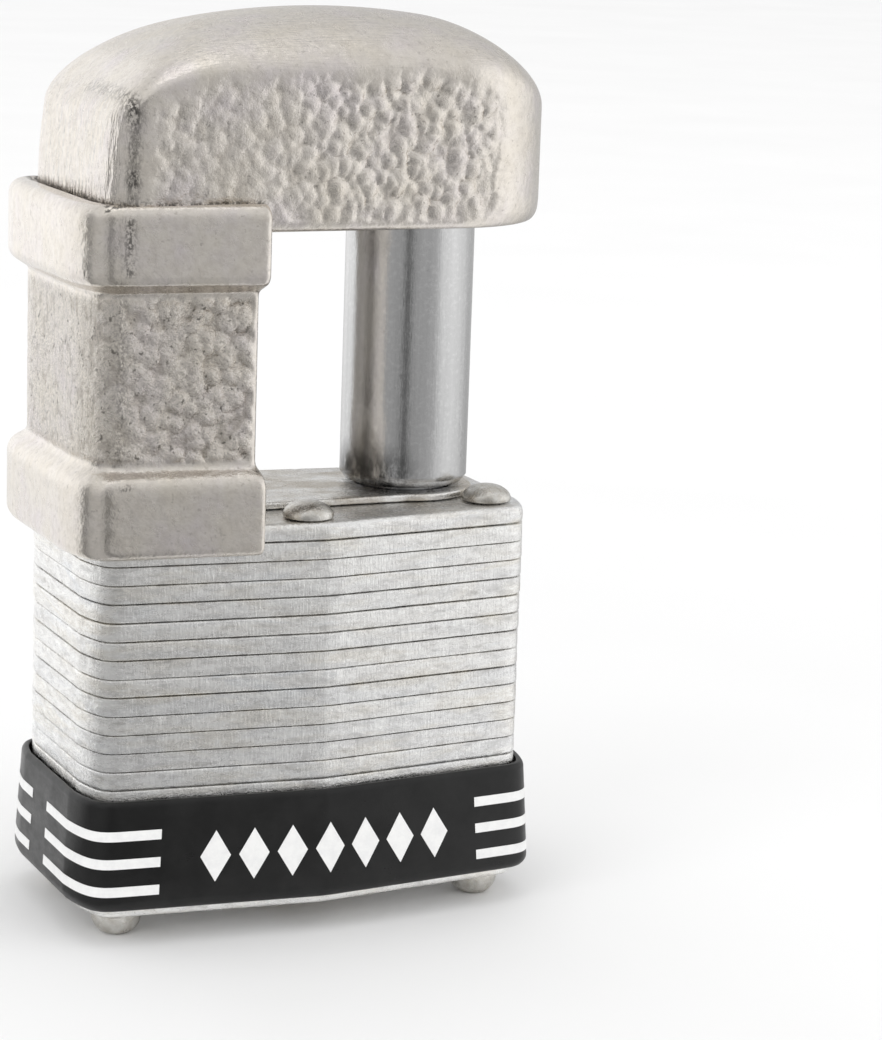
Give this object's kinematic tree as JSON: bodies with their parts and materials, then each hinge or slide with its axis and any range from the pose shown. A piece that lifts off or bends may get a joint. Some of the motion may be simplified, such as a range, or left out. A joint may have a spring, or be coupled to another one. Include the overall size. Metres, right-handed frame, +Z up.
{
  "type": "padlock",
  "caption": "Shrouded laminated padlock: riveted steel plate body, cast guard and cap round the shackle, pin tumbler cylinder and locking dogs.",
  "frame": {"origin": "middle of the whole lock's box, on the plane that the four bottom rivet heads stand on", "axes": "+X from the heel leg to the toe leg, +Y to the back, +Z up from the keyway end to the cap"},
  "size_m": [0.0436, 0.0258, 0.0756],
  "materials": {
    "zinc_plate": "zinc plated, satin",
    "rivet_steel": "zinc plated, lightly scuffed",
    "bumper_plastic": "black moulded, semi-gloss",
    "cast_nickel": "hammered casting, nickel plated",
    "hardened_steel": "polished",
    "brass": "machined",
    "spring_steel": "drawn wire",
    "sintered_steel": "sintered, oiled"
  },
  "bodies": {
    "body": {"plate_01": "zinc_plate", "plate_02": "zinc_plate", "plate_03": "zinc_plate", "plate_04": "zinc_plate", "plate_05": "zinc_plate", "plate_06": "zinc_plate", "plate_07": "zinc_plate", "plate_08": "zinc_plate", "plate_09": "zinc_plate", "plate_10": "zinc_plate", "plate_11": "zinc_plate", "plate_12": "zinc_plate", "plate_13": "zinc_plate", "plate_14": "zinc_plate", "plate_15": "zinc_plate", "plate_16": "zinc_plate", "plate_17": "zinc_plate", "plate_18": "zinc_plate", "plate_19": "zinc_plate", "plate_20": "zinc_plate", "plate_21": "zinc_plate", "rivet_left_front": "rivet_steel", "rivet_left_back": "rivet_steel", "rivet_right_front": "rivet_steel", "rivet_right_back": "rivet_steel", "rivet_centre_front": "rivet_steel", "rivet_centre_back": "rivet_steel", "bumper": "bumper_plastic", "guard": "cast_nickel", "guard_foot_plate": "zinc_plate", "cylinder_shell": "brass", "chamber_cover": "brass", "driver_pin_1": "brass", "driver_pin_2": "brass", "driver_pin_3": "brass", "driver_pin_4": "brass", "pin_spring_1": "spring_steel", "pin_spring_2": "spring_steel", "pin_spring_3": "spring_steel", "pin_spring_4": "spring_steel", "dog_spring": "spring_steel", "shackle_spring": "spring_steel"},
    "shackle": {"shackle": "hardened_steel", "shackle_cap": "cast_nickel", "toe_sleeve": "hardened_steel"},
    "plug": {"plug": "brass", "key_pin_1": "brass", "key_pin_2": "brass", "key_pin_3": "brass", "key_pin_4": "brass", "cam": "sintered_steel"},
    "dog_toe": {"locking_dog_toe": "sintered_steel"},
    "dog_heel": {"locking_dog_heel": "sintered_steel"}
  },
  "joints": [
    {"name": "shackle_lift", "type": "slide", "parent": "body", "child": "shackle", "axis": [0, 0, 1], "range_m": [0, 0.0158]},
    {"name": "plug_turn", "type": "hinge", "parent": "body", "child": "plug", "pos_m": [-0.00028, 0, 0.002], "axis": [0, 0, 1], "range_deg": [-90, 0]},
    {"name": "dog_toe_slide", "type": "slide", "parent": "body", "child": "dog_toe", "axis": [1, 0, 0], "range_m": [0, 0.002]},
    {"name": "dog_heel_slide", "type": "slide", "parent": "body", "child": "dog_heel", "axis": [-1, 0, 0], "range_m": [0, 0.002]}
  ],
  "couplings": [
    {"joint": "plug_turn", "follows": "dog_toe_slide", "rad_per_m": -785.39},
    {"joint": "dog_heel_slide", "follows": "dog_toe_slide", "ratio": 1}
  ]
}
